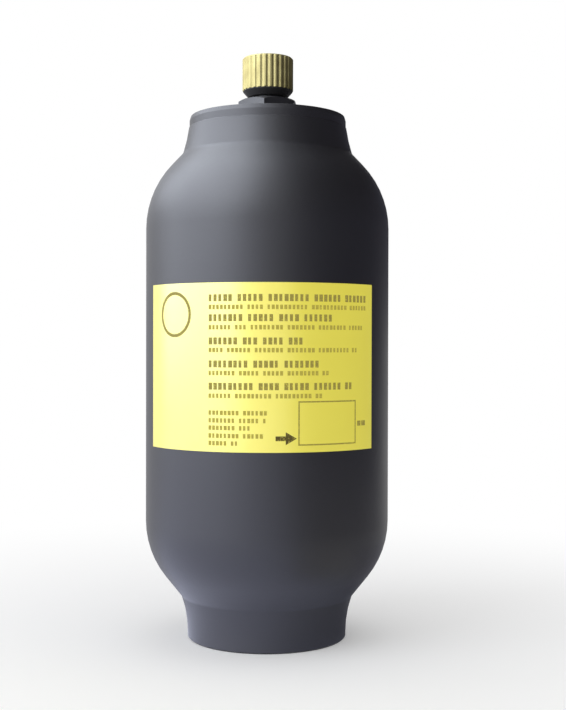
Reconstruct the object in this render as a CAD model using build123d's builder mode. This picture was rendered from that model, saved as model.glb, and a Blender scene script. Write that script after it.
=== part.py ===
"""Bladder accumulator of about 1.5 litres: a spun steel shell, with the gas valve and the
bladder hung in its upper end and a flush fluid port with a poppet valve in its lower neck.

Millimetres, +Z up, origin at the centre of the shell's lower rim, on which it stands.
"""

import os
from math import cos, radians, sin, tan

from build123d import *

# ------------------------------------------------------------------ clearances
slide_play = 0.05  # radial, round a part that slides or turns
ring_play = 0.1  # radial, between a seal stack ring and the throat
thread_play = 0.05  # radial, between threads, both drawn at the major diameter
seat_gap = 0.05  # left between the closed poppet and its seat
bladder_gap = 1.5  # between the slack bladder and the shell
poppet_gap = 2.0  # between the bladder and the open poppet

# ------------------------------------------------------------------ shell
body_r = 114.3 / 2  # 4 inch seamless tube
wall = 5.0
shell_height = 245.0

low_cone_angle = 38.5  # straight part of the lower shoulder, from the vertical
low_cone_width = 7.8  # and measured across the axis
foot_height = 20.0  # lower neck, from the rim up to its root
foot_r = 37.3  # lower neck at its rim
foot_straight = 2.0
foot_flare = 3.1  # how far the lower neck widens up to its root
foot_edge = 0.7  # bevel of the lower rim

high_cone_angle = 43.5
high_cone_width = 5.3
head_height = 17.7  # upper neck, from its root up to the top face
head_r = 36.9  # turned band round the upper neck
head_flare = 3.1
head_flare_angle = 8.0  # slope of the upper neck under its band
band_height = 5.4
band_step = 0.3  # the band is turned this much below the forged neck
lead_height = 2.0  # taper above the band
lead_depth = 0.6
root_fillet = 5.0  # where each neck meets its shoulder

inner_lag = 2.0  # the inside starts to close this much before the outside
knee_wall = 6.9  # the spun wall is thicker where the two cones of the inside meet
knee_share = 0.55  # of the shoulder's turn, at that place
ceiling_r = 28.0  # flat underside of the head
head_thickness = 19.0
throat_r = 25.0
throat_length = 12.0
counterbore_r = 31.0
counterbore_depth = 14.0
edge_break = 0.8

# ------------------------------------------------------------------ gas end
stem_thread_r = 18.0 / 2  # M18 x 1.5
stem_hole_play = 0.3
stem_flange_r = 15.0
stem_flange_height = 4.0
stem_neck_height = 9.6  # M18 part above the shell's top face
valve_thread_r = 15.875 / 2  # 5/8-18 UNF
valve_thread_length = 14.9
gas_bore_r = 2.5
nut_flats = 26.0
nut_height = 8.0
nut_turn = -96.5  # direction of one of the nut's corners, from +X
cap_r = 12.0
cap_roof = 2.1
cap_edge = 0.7
flute_count = 28
flute_r = 1.0
flute_depth = 0.45
gasket_height = 1.5
seal_height = 3.1  # rubber collar under the cap
seal_top_r = 11.7
seal_foot_r = 9.3
seal_edge = 0.4

bladder_wall = 2.5
bladder_seat = 5.0  # rubber between the stem flange and the head
bladder_boss_r = 19.0
bladder_boss_foot = 2.5  # rubber under the stem flange
bag_foot_r = 16.0  # flat end of the bag
bag_knee_r = 38.0
bag_knee_height = 9.0
bag_cone_height = 38.0

# ------------------------------------------------------------------ valve core
core_r = 3.95
core_recess = 0.8  # top of the barrel below the stem's end
core_length = 13.7
core_bore_r = 1.3
core_chamber_r = 2.1
core_floor = 4.0  # barrel below its spring chamber
core_washer_height = 1.5
core_washer_bore_r = 2.9
core_throat_r = 3.2
core_throat_depth = 5.5
pin_r = 0.75
pin_head_r = 1.9
pin_head_height = 1.0
pin_head_recess = 0.5  # its collar below the top of the barrel
pin_tip = 1.0  # pin above its collar
pin_cup_r = 2.7
pin_cup_height = 1.0
core_seal_r = 2.6
core_seal_height = 1.0
core_wire = 0.4
core_coil_r = 1.4
core_turns = 4

# ------------------------------------------------------------------ fluid port
port_recess = 1.0  # lower face above the rim, so that the shell alone stands on the floor
port_thread_r = 42.0 / 2  # M42 x 1.5, takes the ring nut
port_neck_r = 21.5
port_flange_play = 0.4  # the port body is passed in through the throat
port_height = 52.0
port_edge = 3.0
inlet_r = 24.117 / 2  # G 3/4, at the minor diameter
inlet_length = 16.0
relief_r = 13.5
relief_length = 3.0
outlet_r = 11.9  # passage between the thread and the bridge
bridge_z = 34.0
bridge_height = 7.0
guide_boss_r = 5.4
guide_boss_height = 3.0
window_count = 4
window_r = 9.4  # of the middle line of the kidney windows
window_width = 4.6
window_arc = 52.0
chamber_r = 14.5  # above the bridge
seat_height = 4.0  # of the 45 degree seat
pin_hole_r = 2.0  # for the pin spanner
pin_hole_depth = 5.0
pin_hole_spread_r = 17.0

poppet_travel = 6.0
poppet_cone_low_r = 15.2
poppet_cone_high_r = 18.3
poppet_rim = 1.5
poppet_bevel = 2.0
poppet_stem_r = 3.5
poppet_hub_height = 2.7
poppet_thread_r = 3.0  # M6
bush_r = 6.5
bush_height = 4.0
lock_nut_flats = 10.0
lock_nut_height = 6.0
poppet_thread_end = 0.6  # thread past the nut
spring_wire = 1.2
spring_coil_play = 0.2  # between the spring and the guide boss
spring_turns = 4

split_ring_r = 32.5
split_ring_height = 7.0
split_ring_bevel = 4.0
split_width = 1.0  # line between its halves
split_depth = 1.0
seat_pocket_play = 0.5
washer_height = 2.0
o_ring_height = 5.0
o_ring_bevel = 1.1
backup_height = 1.5
spacer_flange = 3.0
ring_nut_height = 9.5
ring_nut_play = 0.6
ring_nut_slots = 4
ring_nut_slot_width = 6.0
ring_nut_slot_depth = 3.5

# ------------------------------------------------------------------ label
label_thickness = 0.1
label_adhesive = 0.05  # layer between it and the shell
label_low_z = 91.6
label_height = 73.0
label_start = -154.6  # direction of its left edge, from +X
label_arc = 119.1

# ------------------------------------------------------------------ levels that follow
lip_z = counterbore_depth + throat_length
ceiling_z = shell_height - head_thickness
cavity_r = body_r - wall
seat_pocket_r = split_ring_r + seat_pocket_play
bladder_r = cavity_r - bladder_gap

stem_flange_top = ceiling_z - bladder_seat
stem_flange_foot = stem_flange_top - stem_flange_height
stem_neck_z = shell_height + stem_neck_height
stem_top_z = stem_neck_z + valve_thread_length
cap_foot_z = stem_neck_z + seal_height
cap_ceiling_z = stem_top_z + gasket_height
cap_top_z = cap_ceiling_z + cap_roof

core_top_z = stem_top_z - core_recess
core_foot_z = core_top_z - core_length
core_pocket_z = core_foot_z - core_washer_height
core_floor_z = core_foot_z + core_floor
pin_collar_z = core_top_z - pin_head_recess - pin_head_height

port_top_z = port_recess + port_height
split_ring_top = lip_z + split_ring_height
washer_z = lip_z - washer_height
o_ring_z = washer_z - o_ring_height
backup_z = o_ring_z - backup_height
spacer_z = counterbore_depth - spacer_flange
bridge_top_z = bridge_z + bridge_height
seat_foot_z = port_top_z - seat_height
ring_bore_r = port_neck_r + thread_play
throat_ring_r = throat_r - ring_play

# the poppet is drawn open, its bush against the bridge
closed_cone_z = seat_foot_z + (poppet_cone_low_r - chamber_r) + seat_gap * 2**0.5
cone_z = closed_cone_z + poppet_travel
cone_top_z = cone_z + poppet_cone_high_r - poppet_cone_low_r
poppet_top_z = cone_top_z + poppet_rim + poppet_bevel
bush_z = bridge_z - bush_height
lock_nut_z = bush_z - lock_nut_height
spring_r = guide_boss_r + spring_coil_play + spring_wire / 2

os.makedirs("parts", exist_ok=True)

# ================================================================== shell
# Seamless tube, both ends spun in to a neck, then turned and bored.
foot_root = (foot_r + foot_flare, foot_height)
head_root = (head_r + head_flare, shell_height - head_height)


def shoulder(root, way, cone_width, cone_angle):
    """A shoulder is a cone from the neck's root, then an arc into the straight body.

    Returns the cone's end, the body's end and the knee of the inside, each as (r, z).
    The root is (r, z) too, and way is 1 where the body is above it and -1 where it is below.
    """
    turn = radians(cone_angle)
    cone_end_r = root[0] + cone_width
    arc_r = (body_r - cone_end_r) / (1 - cos(turn))
    cone_end_z = root[1] + way * cone_width / tan(turn)
    body_end_z = cone_end_z + way * arc_r * sin(turn)
    knee_turn = knee_share * turn
    inner_r = arc_r - knee_wall
    knee = (body_r - arc_r + inner_r * cos(knee_turn), body_end_z - way * inner_r * sin(knee_turn))
    return (cone_end_r, cone_end_z), (body_r, body_end_z), knee


low_cone_end, body_foot, low_knee = shoulder(foot_root, 1, low_cone_width, low_cone_angle)
high_cone_end, body_head, high_knee = shoulder(head_root, -1, high_cone_width, high_cone_angle)
cavity_high_z = body_head[1] - inner_lag
neck_slope = (sin(radians(head_flare_angle)), -cos(radians(head_flare_angle)))

with BuildPart() as shell:
    with BuildSketch(Plane.XZ) as shell_section:
        with BuildLine():
            foot = Line((foot_r, 0), (foot_r, foot_straight))
            TangentArc(foot @ 1, foot_root, tangent=foot % 1)
            low_cone = Line(foot_root, low_cone_end)
            body = Line(body_foot, body_head)
            TangentArc(low_cone @ 1, body @ 0, tangent=low_cone % 1)
            high_cone = Line(high_cone_end, head_root)
            TangentArc(body @ 1, high_cone @ 0, tangent=body % 1)
            band_foot = (head_r + band_step, shell_height - band_height)
            TangentArc(band_foot, head_root, tangent=neck_slope)
            band = Line(
                (head_r, shell_height - band_height + band_step),
                (head_r, shell_height - lead_height),
            )
            Line(band_foot, band @ 0)
            lead = Line(band @ 1, (head_r - lead_depth, shell_height))
            Polyline(lead @ 1, (0, shell_height), (0, 0), foot @ 0)
        make_face()
        corners = shell_section.vertices()
        roots = [corners.sort_by_distance(foot_root)[0], corners.sort_by_distance(head_root)[0]]
        fillet(roots, root_fillet)
        chamfer(shell_section.vertices().sort_by_distance((foot_r, 0))[0], foot_edge)
    revolve(axis=Axis.Z)

    with BuildSketch(Plane.XZ):
        with BuildLine():
            Polyline(
                (0, lip_z),
                (seat_pocket_r, lip_z),
                (seat_pocket_r, lip_z + split_ring_height - split_ring_bevel),
                low_knee,
                (cavity_r, body_foot[1] + inner_lag),
                (cavity_r, cavity_high_z),
                high_knee,
                (ceiling_r, ceiling_z),
                (0, ceiling_z),
                close=True,
            )
        make_face()
    revolve(axis=Axis.Z, mode=Mode.SUBTRACT)

    with BuildSketch():
        Circle(counterbore_r)
    extrude(amount=counterbore_depth, mode=Mode.SUBTRACT)
    with BuildSketch():
        Circle(throat_r)
    extrude(amount=lip_z, mode=Mode.SUBTRACT)
    with BuildSketch(Plane.XY.offset(ceiling_z)):
        Circle(stem_thread_r + stem_hole_play)
    extrude(amount=head_thickness, mode=Mode.SUBTRACT)

    rim_edge = shell.faces().sort_by(Axis.Z)[0].edges().sort_by(SortBy.RADIUS)[0]
    stem_edge = shell.faces().sort_by(Axis.Z)[-1].edges().sort_by(SortBy.RADIUS)[0]
    chamfer([rim_edge, stem_edge], edge_break)
shell.part.label = "shell"
export_step(shell.part, "parts/shell.step")

# ================================================================== bladder
# Moulded rubber bag. Its thick top is bonded round the flange of the stem, and a low
# boss on it seals against the head.
bladder_foot_z = poppet_top_z + poppet_gap
bladder_top_z = ceiling_z - bladder_gap
bladder_knee_r = high_knee[0] - bladder_gap
bladder_high_z = cavity_high_z - bladder_gap
bladder_knee_z = high_knee[1] - bladder_gap
bladder_low_z = bladder_foot_z + bag_cone_height


def bag_section(inset):
    """Half section of the bag, drawn inside its outer face by the inset."""
    with BuildSketch(Plane.XZ) as section:
        with BuildLine():
            Polyline(
                (0, bladder_foot_z + inset),
                (bag_foot_r, bladder_foot_z + inset),
                (bag_knee_r - inset, bladder_foot_z + bag_knee_height + inset),
                (bladder_r - inset, bladder_low_z),
                (bladder_r - inset, bladder_high_z),
                (bladder_knee_r - inset, bladder_knee_z),
                (ceiling_r - inset, bladder_top_z - inset),
                (0, bladder_top_z - inset),
                close=True,
            )
        make_face()
    return section.sketch


with BuildPart() as bladder:
    add(bag_section(0))
    revolve(axis=Axis.Z)
    add(bag_section(bladder_wall))
    revolve(axis=Axis.Z, mode=Mode.SUBTRACT)
    with BuildSketch(Plane.XY.offset(stem_flange_foot - bladder_boss_foot)):
        Circle(bladder_boss_r)
    extrude(amount=bladder_top_z - stem_flange_foot + bladder_boss_foot)
    with BuildSketch(Plane.XY.offset(bladder_top_z)):
        Circle(stem_flange_r)
    extrude(amount=bladder_gap)
    with BuildSketch(Plane.XY.offset(stem_flange_foot)):
        Circle(stem_flange_r)
    extrude(amount=stem_flange_height, mode=Mode.SUBTRACT)
    with BuildSketch(Plane.XY.offset(stem_flange_foot - bladder_boss_foot)):
        Circle(stem_thread_r)
    extrude(amount=ceiling_z - stem_flange_foot + bladder_boss_foot, mode=Mode.SUBTRACT)
bladder.part.label = "bladder"
export_step(bladder.part, "parts/bladder.step")

# ================================================================== bladder stem
# Turned steel: flange in the rubber, M18 shank through the head, 5/8-18 UNF end for the
# cap and the charging tool, bored for the gas and for the valve core.
with BuildPart() as bladder_stem:
    with BuildSketch(Plane.XY.offset(stem_flange_foot)):
        Circle(stem_flange_r)
    extrude(amount=stem_flange_height)
    with BuildSketch(Plane.XY.offset(stem_flange_foot)):
        Circle(stem_thread_r)
    extrude(amount=stem_neck_z - stem_flange_foot)
    with BuildSketch(Plane.XY.offset(stem_neck_z)):
        Circle(valve_thread_r)
    extrude(amount=valve_thread_length)
    chamfer(bladder_stem.faces().sort_by(Axis.Z)[-1].edges(), edge_break)
    with BuildSketch(Plane.XY.offset(stem_flange_foot)):
        Circle(gas_bore_r)
    extrude(amount=stem_top_z - stem_flange_foot, mode=Mode.SUBTRACT)
    with BuildSketch(Plane.XY.offset(core_pocket_z - core_throat_depth)):
        Circle(core_throat_r)
    extrude(amount=core_throat_depth, mode=Mode.SUBTRACT)
    with BuildSketch(Plane.XY.offset(core_pocket_z)):
        Circle(core_r + thread_play)
    extrude(amount=stem_top_z - core_pocket_z, mode=Mode.SUBTRACT)
bladder_stem.part.label = "bladder_stem"
export_step(bladder_stem.part, "parts/bladder_stem.step")

# ================================================================== stem nut
# Thin hex nut on the M18 shank, drawn down on the shell's top face.
with BuildPart() as stem_nut:
    with BuildSketch(Plane.XY.offset(shell_height)):
        RegularPolygon(nut_flats / 2, 6, major_radius=False, rotation=nut_turn)
    extrude(amount=nut_height)
    nut_corner_r = nut_flats / 2 / cos(radians(30))
    nut_slope = (nut_corner_r - nut_flats / 2 + edge_break / 2) * tan(radians(30))
    with BuildSketch(Plane.XZ):
        with BuildLine():
            Polyline(
                (0, shell_height),
                (nut_corner_r, shell_height),
                (nut_corner_r, shell_height + nut_height - nut_slope),
                (nut_flats / 2 - edge_break / 2, shell_height + nut_height),
                (0, shell_height + nut_height),
                close=True,
            )
        make_face()
    revolve(axis=Axis.Z, mode=Mode.INTERSECT)
    with BuildSketch(Plane.XY.offset(shell_height)):
        Circle(stem_thread_r + thread_play)
    extrude(amount=nut_height, mode=Mode.SUBTRACT)
stem_nut.part.label = "stem_nut"
export_step(stem_nut.part, "parts/stem_nut.step")

# ================================================================== valve core
# Brass barrel with a spring chamber open at the top.
with BuildPart() as valve_core:
    with BuildSketch(Plane.XY.offset(core_foot_z)):
        Circle(core_r)
    extrude(amount=core_length)
    with BuildSketch(Plane.XY.offset(core_foot_z)):
        Circle(core_bore_r)
    extrude(amount=core_length, mode=Mode.SUBTRACT)
    with BuildSketch(Plane.XY.offset(core_floor_z)):
        Circle(core_chamber_r)
    extrude(amount=core_top_z - core_floor_z, mode=Mode.SUBTRACT)
valve_core.part.label = "valve_core"
export_step(valve_core.part, "parts/valve_core.step")

with BuildPart() as core_washer:
    with BuildSketch(Plane.XY.offset(core_pocket_z)):
        Circle(core_r)
        Circle(core_washer_bore_r, mode=Mode.SUBTRACT)
    extrude(amount=core_washer_height)
core_washer.part.label = "core_washer"
export_step(core_washer.part, "parts/core_washer.step")

# Pin with a collar for the spring and a cup that carries the seal under the barrel.
pin_foot_z = core_foot_z - core_seal_height - pin_cup_height
with BuildPart() as core_pin:
    with BuildSketch(Plane.XY.offset(pin_foot_z)):
        Circle(pin_r)
    extrude(amount=pin_collar_z + pin_head_height + pin_tip - pin_foot_z)
    with BuildSketch(Plane.XY.offset(pin_foot_z)):
        Circle(pin_cup_r)
    extrude(amount=pin_cup_height)
    with BuildSketch(Plane.XY.offset(pin_collar_z)):
        Circle(pin_head_r)
    extrude(amount=pin_head_height)
core_pin.part.label = "core_pin"
export_step(core_pin.part, "parts/core_pin.step")

with BuildPart() as core_seal:
    with BuildSketch(Plane.XY.offset(core_foot_z - core_seal_height)):
        Circle(core_seal_r)
        Circle(pin_r, mode=Mode.SUBTRACT)
    extrude(amount=core_seal_height)
core_seal.part.label = "core_seal"
export_step(core_seal.part, "parts/core_seal.step")


def coil_spring(foot_z, top_z, coil_r, wire_r, turns):
    """A helical compression spring with both ends ground flat."""
    with BuildPart() as spring:
        free_height = top_z - foot_z
        with BuildLine() as coil:
            Helix(free_height / turns, free_height, coil_r, center=(0, 0, foot_z))
        with BuildSketch(Plane(coil.line @ 0, z_dir=coil.line % 0)):
            RegularPolygon(wire_r, 6)
        sweep(is_frenet=True)
        split(bisect_by=Plane.XY.offset(foot_z), keep=Keep.TOP)
        split(bisect_by=Plane.XY.offset(top_z), keep=Keep.BOTTOM)
    return spring


core_spring = coil_spring(core_floor_z, pin_collar_z, core_coil_r, core_wire / 2, core_turns)
core_spring.part.label = "core_spring"
export_step(core_spring.part, "parts/core_spring.step")

# ================================================================== cap and its seals
# Turned brass, straight-fluted all round, tapped to screw on the stem.
with BuildPart() as cap:
    with BuildSketch(Plane.XY.offset(cap_foot_z)):
        Circle(cap_r)
    extrude(amount=cap_top_z - cap_foot_z)
    chamfer(cap.edges().filter_by(GeomType.CIRCLE).group_by(Axis.Z)[-1], cap_edge)
    with BuildSketch(Plane.XY.offset(cap_foot_z)):
        with PolarLocations(cap_r + flute_r - flute_depth, flute_count):
            Circle(flute_r)
    extrude(amount=cap_top_z - cap_foot_z, mode=Mode.SUBTRACT)
    with BuildSketch(Plane.XY.offset(cap_foot_z)):
        Circle(valve_thread_r + thread_play)
    extrude(amount=cap_ceiling_z - cap_foot_z, mode=Mode.SUBTRACT)
cap.part.label = "cap"
export_step(cap.part, "parts/cap.step")

with BuildPart() as cap_gasket:
    with BuildSketch(Plane.XY.offset(stem_top_z)):
        Circle(valve_thread_r - thread_play)
    extrude(amount=gasket_height)
cap_gasket.part.label = "cap_gasket"
export_step(cap_gasket.part, "parts/cap_gasket.step")

# Rubber collar, tapered below, squeezed between the shank's shoulder and the cap.
with BuildPart() as cap_seal:
    with BuildSketch(Plane.XZ):
        with BuildLine():
            Polyline(
                (valve_thread_r + thread_play, stem_neck_z),
                (seal_foot_r, stem_neck_z),
                (seal_top_r, cap_foot_z - seal_edge),
                (seal_top_r, cap_foot_z),
                (valve_thread_r + thread_play, cap_foot_z),
                close=True,
            )
        make_face()
    revolve(axis=Axis.Z)
cap_seal.part.label = "cap_seal"
export_step(cap_seal.part, "parts/cap_seal.step")

# ================================================================== port body
# Turned steel. From below: G 3/4 thread, relief, bridge that guides the poppet and lets
# the oil through its kidney windows, chamber and 45 degree seat.
with BuildPart() as port_body:
    with BuildSketch(Plane.XY.offset(port_recess)):
        Circle(port_thread_r)
    extrude(amount=counterbore_depth - port_recess)
    with BuildSketch(Plane.XY.offset(spacer_z)):
        Circle(port_neck_r)
    extrude(amount=split_ring_top - spacer_z)
    with BuildSketch(Plane.XY.offset(split_ring_top)):
        Circle(throat_r - port_flange_play)
    extrude(amount=port_top_z - split_ring_top)
    chamfer(port_body.faces().sort_by(Axis.Z)[-1].edges(), port_edge)

    with BuildSketch(Plane.XY.offset(port_recess)):
        Circle(inlet_r)
    extrude(amount=inlet_length, mode=Mode.SUBTRACT)
    with BuildSketch(Plane.XY.offset(port_recess + inlet_length)):
        Circle(relief_r)
    extrude(amount=relief_length, mode=Mode.SUBTRACT)
    with BuildSketch(Plane.XY.offset(port_recess + inlet_length)):
        Circle(outlet_r)
    extrude(amount=bridge_z - port_recess - inlet_length, mode=Mode.SUBTRACT)
    with BuildSketch(Plane.XY.offset(bridge_top_z)):
        Circle(chamber_r)
        Circle(guide_boss_r, mode=Mode.SUBTRACT)
    extrude(amount=seat_foot_z - bridge_top_z, mode=Mode.SUBTRACT)
    with BuildSketch(Plane.XY.offset(bridge_top_z + guide_boss_height)):
        Circle(guide_boss_r)
    extrude(amount=seat_foot_z - bridge_top_z - guide_boss_height, mode=Mode.SUBTRACT)
    with BuildSketch(Plane.XY.offset(seat_foot_z)):
        Circle(chamber_r)
    extrude(amount=seat_height, taper=-45, mode=Mode.SUBTRACT)

    with BuildSketch(Plane.XY.offset(bridge_z)):
        Circle(poppet_stem_r + slide_play)
        with PolarLocations(0, window_count):
            SlotArc(
                CenterArc((0, 0), window_r, -window_arc / 2, window_arc), height=window_width
            )
    extrude(amount=bridge_height + guide_boss_height, mode=Mode.SUBTRACT)
    with BuildSketch(Plane.XY.offset(port_recess)):
        with PolarLocations(pin_hole_spread_r, 2):
            Circle(pin_hole_r)
    extrude(amount=pin_hole_depth, mode=Mode.SUBTRACT)
port_body.part.label = "port_body"
export_step(port_body.part, "parts/port_body.step")

# ================================================================== poppet and what rides on it
# Mushroom head with a 45 degree cone, hub, guided stem and an M6 end, turned in one piece.
poppet_rim_z = cone_top_z + poppet_rim
with BuildPart() as poppet:
    with BuildSketch(Plane.XZ):
        with BuildLine():
            Polyline(
                (0, lock_nut_z - poppet_thread_end),
                (poppet_thread_r, lock_nut_z - poppet_thread_end),
                (poppet_thread_r, bridge_z),
                (poppet_stem_r, bridge_z),
                (poppet_stem_r, cone_z - poppet_hub_height),
                (guide_boss_r, cone_z - poppet_hub_height),
                (guide_boss_r, cone_z),
                (poppet_cone_low_r, cone_z),
                (poppet_cone_high_r, cone_top_z),
                (poppet_cone_high_r, poppet_rim_z),
                (poppet_cone_high_r - poppet_bevel, poppet_top_z),
                (0, poppet_top_z),
                close=True,
            )
        make_face()
    revolve(axis=Axis.Z)
poppet.part.label = "poppet"
export_step(poppet.part, "parts/poppet.step")

with BuildPart() as brake_bush:
    with BuildSketch(Plane.XY.offset(bush_z)):
        Circle(bush_r)
        Circle(poppet_thread_r + thread_play, mode=Mode.SUBTRACT)
    extrude(amount=bush_height)
brake_bush.part.label = "brake_bush"
export_step(brake_bush.part, "parts/brake_bush.step")

with BuildPart() as poppet_nut:
    with BuildSketch(Plane.XY.offset(lock_nut_z)):
        RegularPolygon(lock_nut_flats / 2, 6, major_radius=False)
        Circle(poppet_thread_r + thread_play, mode=Mode.SUBTRACT)
    extrude(amount=lock_nut_height)
poppet_nut.part.label = "poppet_nut"
export_step(poppet_nut.part, "parts/poppet_nut.step")

poppet_spring = coil_spring(bridge_top_z, cone_z, spring_r, spring_wire / 2, spring_turns)
poppet_spring.part.label = "poppet_spring"
export_step(poppet_spring.part, "parts/poppet_spring.step")

# ================================================================== stack that holds the port
# Steel ring in two halves, moulded in rubber; the bevel keeps it from cutting the bag.
with BuildPart() as anti_extrusion_ring:
    with BuildSketch(Plane.XY.offset(lip_z)):
        Circle(split_ring_r)
    extrude(amount=split_ring_height)
    chamfer(anti_extrusion_ring.faces().sort_by(Axis.Z)[-1].edges(), split_ring_bevel)
    with BuildSketch(Plane.XY.offset(lip_z)):
        Circle(ring_bore_r)
    extrude(amount=split_ring_height, mode=Mode.SUBTRACT)
    with BuildSketch(Plane.XY.offset(split_ring_top)):
        Rectangle(2 * split_ring_r, split_width)
    extrude(amount=-split_depth, mode=Mode.SUBTRACT)
anti_extrusion_ring.part.label = "anti_extrusion_ring"
export_step(anti_extrusion_ring.part, "parts/anti_extrusion_ring.step")

with BuildPart() as support_washer:
    with BuildSketch(Plane.XY.offset(washer_z)):
        Circle(throat_ring_r)
        Circle(ring_bore_r, mode=Mode.SUBTRACT)
    extrude(amount=washer_height)
support_washer.part.label = "support_washer"
export_step(support_washer.part, "parts/support_washer.step")

# O-ring squeezed in its groove, so its round section has gone flat on four sides.
with BuildPart() as port_o_ring:
    with BuildSketch(Plane.XY.offset(o_ring_z)):
        Circle(throat_ring_r)
        Circle(ring_bore_r, mode=Mode.SUBTRACT)
    extrude(amount=o_ring_height)
    chamfer(port_o_ring.edges().filter_by(GeomType.CIRCLE), o_ring_bevel)
port_o_ring.part.label = "port_o_ring"
export_step(port_o_ring.part, "parts/port_o_ring.step")

with BuildPart() as backup_ring:
    with BuildSketch(Plane.XY.offset(backup_z)):
        Circle(throat_ring_r)
        Circle(ring_bore_r, mode=Mode.SUBTRACT)
    extrude(amount=backup_height)
backup_ring.part.label = "backup_ring"
export_step(backup_ring.part, "parts/backup_ring.step")

# Stepped ring: its collar stands in the throat, its flange under the counterbore's floor.
with BuildPart() as spacer_ring:
    with BuildSketch(Plane.XY.offset(spacer_z)):
        Circle(counterbore_r - ring_nut_play)
    extrude(amount=spacer_flange)
    with BuildSketch(Plane.XY.offset(counterbore_depth)):
        Circle(throat_ring_r)
    extrude(amount=backup_z - counterbore_depth)
    with BuildSketch(Plane.XY.offset(spacer_z)):
        Circle(ring_bore_r)
    extrude(amount=backup_z - spacer_z, mode=Mode.SUBTRACT)
spacer_ring.part.label = "spacer_ring"
export_step(spacer_ring.part, "parts/spacer_ring.step")

# Ring nut with face slots for a hook spanner.
with BuildPart() as ring_nut:
    with BuildSketch(Plane.XY.offset(spacer_z - ring_nut_height)):
        Circle(counterbore_r - ring_nut_play)
        Circle(port_thread_r + thread_play, mode=Mode.SUBTRACT)
    extrude(amount=ring_nut_height)
    with BuildSketch(Plane.XY.offset(spacer_z - ring_nut_height)):
        with PolarLocations(counterbore_r, ring_nut_slots):
            Rectangle(2 * (counterbore_r - port_thread_r), ring_nut_slot_width)
    extrude(amount=ring_nut_slot_depth, mode=Mode.SUBTRACT)
ring_nut.part.label = "ring_nut"
export_step(ring_nut.part, "parts/ring_nut.step")

# ================================================================== label
# Printed vinyl sticker wrapped round the front of the shell.
with BuildPart() as label:
    label_plane = Plane.XZ.rotated((0, 0, label_start))
    with BuildSketch(label_plane):
        with Locations((body_r + label_adhesive, label_low_z)):
            Rectangle(label_thickness, label_height, align=(Align.MIN, Align.MIN))
    revolve(axis=Axis.Z, revolution_arc=label_arc)
label.part.label = "label"
export_step(label.part, "parts/label.step")
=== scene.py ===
"""Looks of a bladder accumulator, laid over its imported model. +Z is up, the label faces -Y."""
import math
import random

import bmesh
import bpy
from mathutils import Matrix, Vector


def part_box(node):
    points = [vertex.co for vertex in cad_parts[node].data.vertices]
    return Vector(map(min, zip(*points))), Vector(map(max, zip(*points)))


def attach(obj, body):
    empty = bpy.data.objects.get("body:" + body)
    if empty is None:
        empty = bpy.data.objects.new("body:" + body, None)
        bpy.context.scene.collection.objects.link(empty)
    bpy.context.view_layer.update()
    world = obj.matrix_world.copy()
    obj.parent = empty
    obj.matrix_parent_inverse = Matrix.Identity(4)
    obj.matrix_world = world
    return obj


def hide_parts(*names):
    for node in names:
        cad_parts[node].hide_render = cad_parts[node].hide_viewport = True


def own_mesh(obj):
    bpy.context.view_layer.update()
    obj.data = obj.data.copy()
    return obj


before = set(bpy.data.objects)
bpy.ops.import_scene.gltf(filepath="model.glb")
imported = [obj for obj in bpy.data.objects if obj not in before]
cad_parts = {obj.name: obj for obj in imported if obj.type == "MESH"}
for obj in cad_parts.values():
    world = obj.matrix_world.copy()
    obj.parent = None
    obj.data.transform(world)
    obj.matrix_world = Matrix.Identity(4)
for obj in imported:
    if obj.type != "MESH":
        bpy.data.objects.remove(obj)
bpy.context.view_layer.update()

# ------------------------------------------------------------------ shell
# One piece of seamless steel tube. Both ends are spun in to a neck, the necks are turned and
# bored, and the outside is sprayed with satin enamel, which rounds every corner a little.
MM = 0.001
body_r = 57.15
wall = 5.0
shell_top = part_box("shell")[1].z / MM
foot_r = 37.3
foot_straight = 2.0
foot_root = (40.4, 20.0)
low_cone_angle = math.radians(38.5)
low_shoulder_r = 41.17
head_r = 36.9
head_root = (40.0, 227.3)
head_slope = math.radians(8.0)
high_cone_angle = math.radians(43.5)
high_shoulder_r = 43.15
band_foot = (37.2, 239.6)
throat_r = 9.3
throat_z = 226.0
port_bore_r = 25.0
port_bore_top_z = 26.0
recess_r = 31.0
recess_roof_z = 14.0
mouth_chamfer = 0.8
root_round = 5.0
edge_break = 0.2
paint_round = 0.35
enamel_blue_black = "#141218"


def linear(code):
    """An sRGB hex colour as the linear RGBA that the shaders take."""
    channels = [int(code[i:i + 2], 16) / 255 for i in (1, 3, 5)]
    return [c / 12.92 if c <= 0.04045 else ((c + 0.055) / 1.055) ** 2.4 for c in channels] + [1]


def node(tree, kind, inputs=None, **settings):
    """Adds a shader node. An input is a value, or the socket that feeds it."""
    made = tree.nodes.new(kind)
    for name, value in settings.items():
        setattr(made, name, value)
    for name, value in (inputs or {}).items():
        if isinstance(value, bpy.types.NodeSocket):
            tree.links.new(value, made.inputs[name])
        else:
            made.inputs[name].default_value = value
    return made


def new_finish(name, **constants):
    """A material with its shader set to plain values; returns it with its node tree and shader."""
    material = bpy.data.materials.new(name)
    material.use_nodes = True
    shader = material.node_tree.nodes["Principled BSDF"]
    for socket, value in constants.items():
        shader.inputs[socket.replace("_", " ")].default_value = value
    return material, material.node_tree, shader


def finished(name, shape):
    """Turns a bmesh into an object at the origin that shades smoothly between its sharp edges."""
    mesh = bpy.data.meshes.new(name)
    shape.to_mesh(mesh)
    shape.free()
    mesh.shade_smooth()
    mesh.set_sharp_from_angle(angle=math.radians(32))
    piece = bpy.data.objects.new(name, mesh)
    bpy.context.scene.collection.objects.link(piece)
    return piece


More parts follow.
